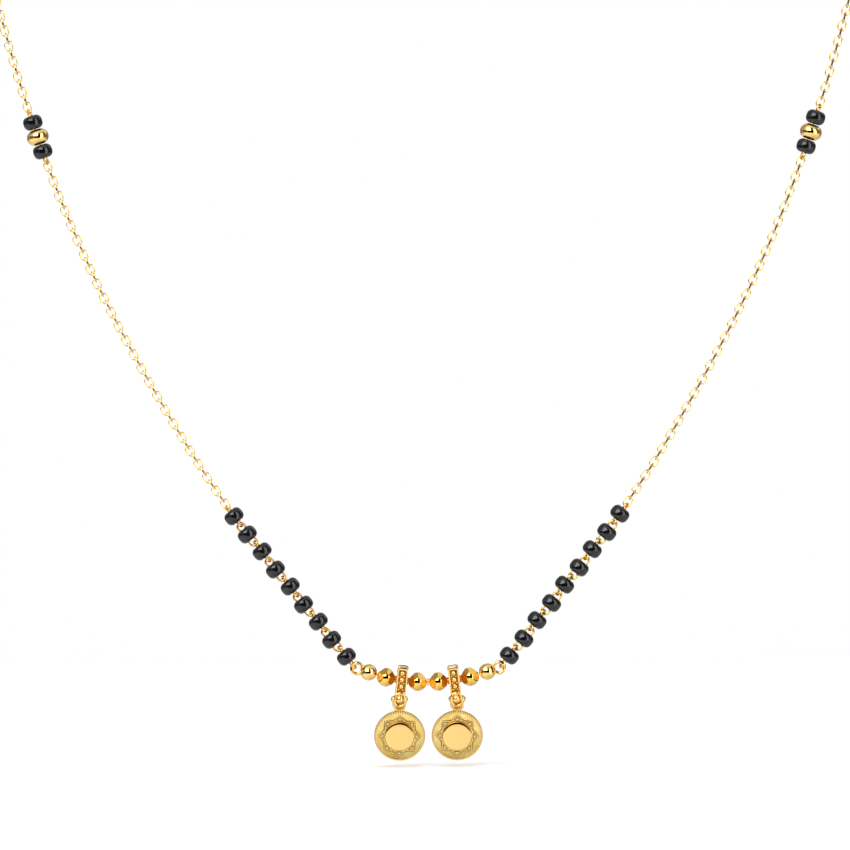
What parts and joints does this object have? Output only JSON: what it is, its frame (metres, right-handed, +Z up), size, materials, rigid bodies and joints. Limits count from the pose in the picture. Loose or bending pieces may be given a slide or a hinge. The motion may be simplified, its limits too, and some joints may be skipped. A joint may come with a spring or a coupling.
{
  "type": "mangalsutra necklace",
  "caption": "Fine cable chain necklace with strings of black glass beads, faceted gold balls and two sun medallions hung from grain-set bails.",
  "frame": {"origin": "centre of the clasp, where the necklace rests on the nape", "axes": "+Z up, +X to the wearer's left, +Y from the front towards the nape; the front of the necklace hangs in an upright plane facing -Y"},
  "size_m": [0.1204, 0.0751, 0.1235],
  "materials": {
    "gold": "high polish yellow gold",
    "black_glass": "glossy opaque black glass"
  },
  "bodies": {
    "root": {"black_bead_right_1": "black_glass", "black_bead_left_1": "black_glass", "black_bead_right_2": "black_glass", "black_bead_left_2": "black_glass", "black_bead_right_3": "black_glass", "black_bead_left_3": "black_glass", "black_bead_right_4": "black_glass", "black_bead_left_4": "black_glass", "black_bead_right_5": "black_glass", "black_bead_left_5": "black_glass", "black_bead_right_6": "black_glass", "black_bead_left_6": "black_glass", "black_bead_right_7": "black_glass", "black_bead_left_7": "black_glass", "black_bead_right_8": "black_glass", "black_bead_left_8": "black_glass", "black_bead_right_9": "black_glass", "black_bead_left_9": "black_glass", "bead_wires_right": "gold", "bead_wires_left": "gold", "station_black_upper_right": "black_glass", "station_black_upper_left": "black_glass", "station_black_lower_right": "black_glass", "station_black_lower_left": "black_glass", "station_rondelle_right": "gold", "station_rondelle_left": "gold", "station_wire_right": "gold", "station_wire_left": "gold", "centre_strand": "gold", "centre_washer": "gold", "faceted_ball_inner_right": "gold", "faceted_ball_inner_left": "gold", "faceted_ball_outer_right": "gold", "faceted_ball_outer_left": "gold", "chain_lower_right": "gold", "chain_lower_left": "gold", "chain_upper_right": "gold", "chain_upper_left": "gold", "chain_back_right": "gold", "chain_back_left": "gold", "clasp": "gold"},
    "bail_right": {"bail_right": "gold"},
    "pendant_right": {"pendant_right": "gold"},
    "bail_left": {"bail_left": "gold"},
    "pendant_left": {"pendant_left": "gold"}
  },
  "joints": [
    {"name": "bail_right_swing", "type": "hinge", "parent": "root", "child": "bail_right", "pos_m": [0.00341, -0.0725, -0.11175], "axis": [0.9894, 0, 0.145], "range_deg": [-25, 25]},
    {"name": "pendant_right_swing", "type": "hinge", "parent": "bail_right", "child": "pendant_right", "pos_m": [0.00375, -0.0721, -0.11423], "axis": [1, 0, 0], "range_deg": [-35, 60]},
    {"name": "bail_left_swing", "type": "hinge", "parent": "root", "child": "bail_left", "pos_m": [-0.00341, -0.0725, -0.11175], "axis": [0.9894, 0, -0.145], "range_deg": [-25, 25]},
    {"name": "pendant_left_swing", "type": "hinge", "parent": "bail_left", "child": "pendant_left", "pos_m": [-0.00375, -0.0721, -0.11423], "axis": [1, 0, 0], "range_deg": [-35, 60]}
  ]
}
